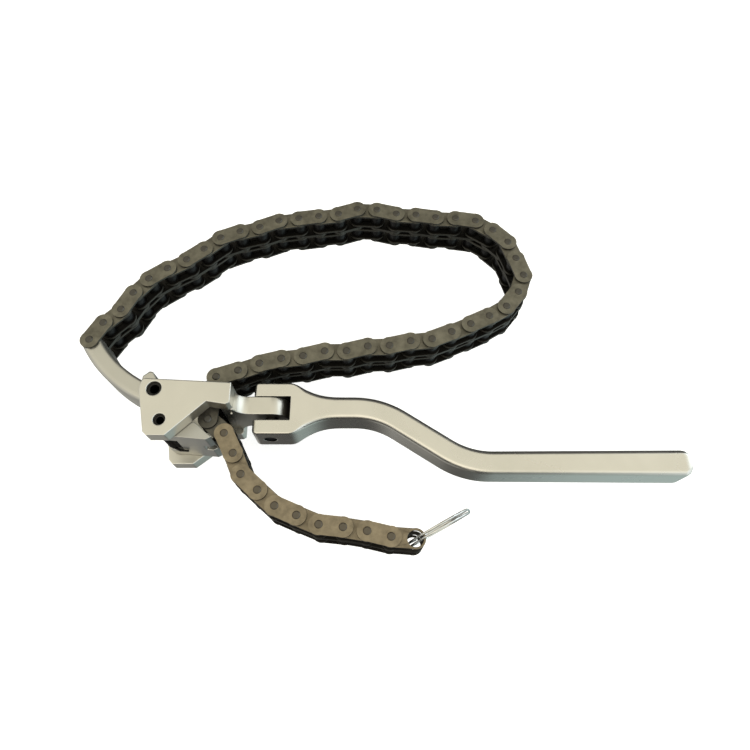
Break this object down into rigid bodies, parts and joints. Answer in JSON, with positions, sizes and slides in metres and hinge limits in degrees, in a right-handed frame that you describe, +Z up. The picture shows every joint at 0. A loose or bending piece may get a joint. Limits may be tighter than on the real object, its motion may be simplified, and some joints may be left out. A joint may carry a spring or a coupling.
{
  "type": "double chain oil filter wrench",
  "caption": "Oil filter wrench with a forged head, a duplex roller chain loop, a curved jaw arm, a sprung pawl, a chain tail with a split ring and a hinged cranked handle.",
  "frame": {"origin": "foot of the arm pivot's axis on the underside of the head's lower plate", "axes": "+X along the handle away from the head, +Y towards the chain loop, +Z up along the chain pins"},
  "size_m": [0.2594, 0.1638, 0.0409],
  "materials": {
    "forged_chrome": "satin chrome plate",
    "outer_links": "satin chain steel",
    "inner_links": "satin chain steel, dark oiled rollers",
    "pins": "plain pin steel",
    "spring_steel": "black spring wire",
    "ring_wire": "bright nickel"
  },
  "bodies": {
    "head": {"head_body": "forged_chrome", "pivot_pins": "pins", "held_links": "inner_links"},
    "handle": {"handle": "forged_chrome", "hinge_pin": "pins"},
    "arm": {"jaw_arm": "forged_chrome"},
    "pawl": {"pawl": "forged_chrome", "pawl_spring": "spring_steel"},
    "ring": {"split_ring": "ring_wire"},
    "links_01_03": {"outer_link_01": "outer_links", "inner_link_02": "inner_links", "outer_link_03": "outer_links"},
    "links_04_06": {"inner_link_04": "inner_links", "outer_link_05": "outer_links", "inner_link_06": "inner_links"},
    "links_07_09": {"outer_link_07": "outer_links", "inner_link_08": "inner_links", "outer_link_09": "outer_links"},
    "links_10_12": {"inner_link_10": "inner_links", "outer_link_11": "outer_links", "inner_link_12": "inner_links"},
    "links_13_15": {"outer_link_13": "outer_links", "inner_link_14": "inner_links", "outer_link_15": "outer_links"},
    "links_16_18": {"inner_link_16": "inner_links", "outer_link_17": "outer_links", "inner_link_18": "inner_links"},
    "links_19_21": {"outer_link_19": "outer_links", "inner_link_20": "inner_links", "outer_link_21": "outer_links"},
    "links_22_24": {"inner_link_22": "inner_links", "outer_link_23": "outer_links", "inner_link_24": "inner_links"},
    "links_25_25": {"outer_link_25": "outer_links"},
    "links_39_41": {"outer_link_41": "outer_links", "inner_link_40": "inner_links", "outer_link_39": "outer_links"},
    "links_36_38": {"inner_link_38": "inner_links", "outer_link_37": "outer_links", "inner_link_36": "inner_links"},
    "links_33_35": {"outer_link_35": "outer_links", "inner_link_34": "inner_links", "outer_link_33": "outer_links"},
    "links_30_32": {"inner_link_32": "inner_links", "outer_link_31": "outer_links", "inner_link_30": "inner_links"},
    "links_26_29": {"outer_link_29": "outer_links", "inner_link_28": "inner_links", "outer_link_27": "outer_links", "inner_link_26": "inner_links"},
    "link_45": {"outer_link_45": "outer_links"},
    "link_46": {"inner_link_46": "inner_links"},
    "link_47": {"outer_link_47": "outer_links"},
    "link_48": {"inner_link_48": "inner_links"},
    "link_49": {"outer_link_49": "outer_links"},
    "link_50": {"inner_link_50": "inner_links"},
    "link_51": {"outer_link_51": "outer_links"},
    "link_52": {"inner_link_52": "inner_links"},
    "link_53": {"outer_link_53": "outer_links"},
    "link_54": {"inner_link_54": "inner_links"}
  },
  "joints": [
    {"name": "handle_hinge", "type": "hinge", "parent": "head", "child": "handle", "pos_m": [0.0454, -0.0038, 0.02045], "axis": [0, 1, 0], "range_deg": [-90, 90]},
    {"name": "arm_pivot", "type": "hinge", "parent": "head", "child": "arm", "pos_m": [0, 0, 0.02045], "axis": [0, 0, 1], "range_deg": [-15, 15]},
    {"name": "pawl_pivot", "type": "hinge", "parent": "head", "child": "pawl", "pos_m": [0.0038, -0.0132, 0.02045], "axis": [0, 0, 1], "range_deg": [-18, 0], "stiffness_Nm_per_rad": 0.06, "springref_deg": 11.46},
    {"name": "loop_pin_01", "type": "hinge", "parent": "arm", "child": "links_01_03", "pos_m": [-0.03492, 0.02709, 0.02045], "axis": [0, 0, 1], "range_deg": [-6.2, 6.2]},
    {"name": "loop_pin_04", "type": "hinge", "parent": "links_01_03", "child": "links_04_06", "pos_m": [-0.01926, 0.05066, 0.02045], "axis": [0, 0, 1], "range_deg": [-6.27, 6.27]},
    {"name": "loop_pin_07", "type": "hinge", "parent": "links_04_06", "child": "links_07_09", "pos_m": [0.00267, 0.06844, 0.02045], "axis": [0, 0, 1], "range_deg": [-4.19, 4.19]},
    {"name": "loop_pin_10", "type": "hinge", "parent": "links_07_09", "child": "links_10_12", "pos_m": [0.0261, 0.08427, 0.02045], "axis": [0, 0, 1], "range_deg": [-4, 4]},
    {"name": "loop_pin_13", "type": "hinge", "parent": "links_10_12", "child": "links_13_15", "pos_m": [0.05351, 0.09181, 0.02045], "axis": [0, 0, 1], "range_deg": [-3.73, 3.73]},
    {"name": "loop_pin_16", "type": "hinge", "parent": "links_13_15", "child": "links_16_18", "pos_m": [0.0814, 0.09759, 0.02045], "axis": [0, 0, 1], "range_deg": [-4.06, 4.06]},
    {"name": "loop_pin_19", "type": "hinge", "parent": "links_16_18", "child": "links_19_21", "pos_m": [0.10968, 0.0943, 0.02045], "axis": [0, 0, 1], "range_deg": [-4.02, 4.02]},
    {"name": "loop_pin_22", "type": "hinge", "parent": "links_19_21", "child": "links_22_24", "pos_m": [0.13803, 0.09101, 0.02045], "axis": [0, 0, 1], "range_deg": [-2.07, 2.07]},
    {"name": "loop_pin_25", "type": "hinge", "parent": "links_22_24", "child": "links_25_25", "pos_m": [0.15562, 0.06989, 0.02045], "axis": [0, 0, 1], "range_deg": [-5.22, 5.22]},
    {"name": "loop_pin_42", "type": "hinge", "parent": "head", "child": "links_39_41", "pos_m": [0.02203, 0.00949, 0.02045], "axis": [0, 0, 1], "range_deg": [-10.9, 10.9]},
    {"name": "loop_pin_39", "type": "hinge", "parent": "links_39_41", "child": "links_36_38", "pos_m": [0.04923, 0.01815, 0.02045], "axis": [0, 0, 1], "range_deg": [-1.09, 1.09]},
    {"name": "loop_pin_36", "type": "hinge", "parent": "links_36_38", "child": "links_33_35", "pos_m": [0.07743, 0.02178, 0.02045], "axis": [0, 0, 1], "range_deg": [-2.82, 2.82]},
    {"name": "loop_pin_33", "type": "hinge", "parent": "links_33_35", "child": "links_30_32", "pos_m": [0.10545, 0.02672, 0.02045], "axis": [0, 0, 1], "range_deg": [-3.69, 3.69]},
    {"name": "loop_pin_30", "type": "hinge", "parent": "links_30_32", "child": "links_26_29", "pos_m": [0.1324, 0.03532, 0.02045], "axis": [0, 0, 1], "range_deg": [-2.7, 2.7]},
    {"name": "tail_pin_45", "type": "hinge", "parent": "head", "child": "link_45", "pos_m": [0.02767, -0.01561, 0.02045], "axis": [0, 0, 1], "range_deg": [-25, 4]},
    {"name": "tail_pin_46", "type": "hinge", "parent": "link_45", "child": "link_46", "pos_m": [0.03199, -0.0241, 0.02045], "axis": [0, 0, -1], "range_deg": [-4, 25]},
    {"name": "tail_pin_47", "type": "hinge", "parent": "link_46", "child": "link_47", "pos_m": [0.03586, -0.0328, 0.02045], "axis": [0, 0, 1], "range_deg": [-25, 5]},
    {"name": "tail_pin_48", "type": "hinge", "parent": "link_47", "child": "link_48", "pos_m": [0.04294, -0.03917, 0.02045], "axis": [0, 0, -1], "range_deg": [-5, 25]},
    {"name": "tail_pin_49", "type": "hinge", "parent": "link_48", "child": "link_49", "pos_m": [0.05013, -0.04542, 0.02045], "axis": [0, 0, 1], "range_deg": [-25, 6]},
    {"name": "tail_pin_50", "type": "hinge", "parent": "link_49", "child": "link_50", "pos_m": [0.0589, -0.04914, 0.02045], "axis": [0, 0, -1], "range_deg": [-6, 25]},
    {"name": "tail_pin_51", "type": "hinge", "parent": "link_50", "child": "link_51", "pos_m": [0.06773, -0.05271, 0.02045], "axis": [0, 0, 1], "range_deg": [-25, 8]},
    {"name": "tail_pin_52", "type": "hinge", "parent": "link_51", "child": "link_52", "pos_m": [0.0772, -0.05371, 0.02045], "axis": [0, 0, -1], "range_deg": [-9, 25]},
    {"name": "tail_pin_53", "type": "hinge", "parent": "link_52", "child": "link_53", "pos_m": [0.08661, -0.0552, 0.02045], "axis": [0, 0, 1], "range_deg": [-25, 12]},
    {"name": "tail_pin_54", "type": "hinge", "parent": "link_53", "child": "link_54", "pos_m": [0.09589, -0.05734, 0.02045], "axis": [0, 0, -1], "range_deg": [-16, 25]},
    {"name": "ring_swing", "type": "hinge", "parent": "link_54", "child": "ring", "pos_m": [0.10539, -0.058, 0.02045], "axis": [0, 0, 1], "range_deg": [-40, 25]}
  ],
  "couplings": [
    {"joint": "loop_pin_01", "follows": "arm_pivot", "ratio": -0.37969},
    {"joint": "loop_pin_04", "follows": "arm_pivot", "ratio": -0.3848},
    {"joint": "loop_pin_07", "follows": "arm_pivot", "ratio": -0.24619},
    {"joint": "loop_pin_10", "follows": "arm_pivot", "ratio": 0.23362},
    {"joint": "loop_pin_13", "follows": "arm_pivot", "ratio": 0.21547},
    {"joint": "loop_pin_16", "follows": "arm_pivot", "ratio": 0.23711},
    {"joint": "loop_pin_19", "follows": "arm_pivot", "ratio": 0.23464},
    {"joint": "loop_pin_22", "follows": "arm_pivot", "ratio": 0.10491},
    {"joint": "loop_pin_25", "follows": "arm_pivot", "ratio": -0.31485},
    {"joint": "loop_pin_42", "follows": "arm_pivot", "ratio": 0.69342},
    {"joint": "loop_pin_39", "follows": "arm_pivot", "ratio": -0.039273},
    {"joint": "loop_pin_36", "follows": "arm_pivot", "ratio": -0.15436},
    {"joint": "loop_pin_33", "follows": "arm_pivot", "ratio": -0.21246},
    {"joint": "loop_pin_30", "follows": "arm_pivot", "ratio": -0.14699}
  ]
}
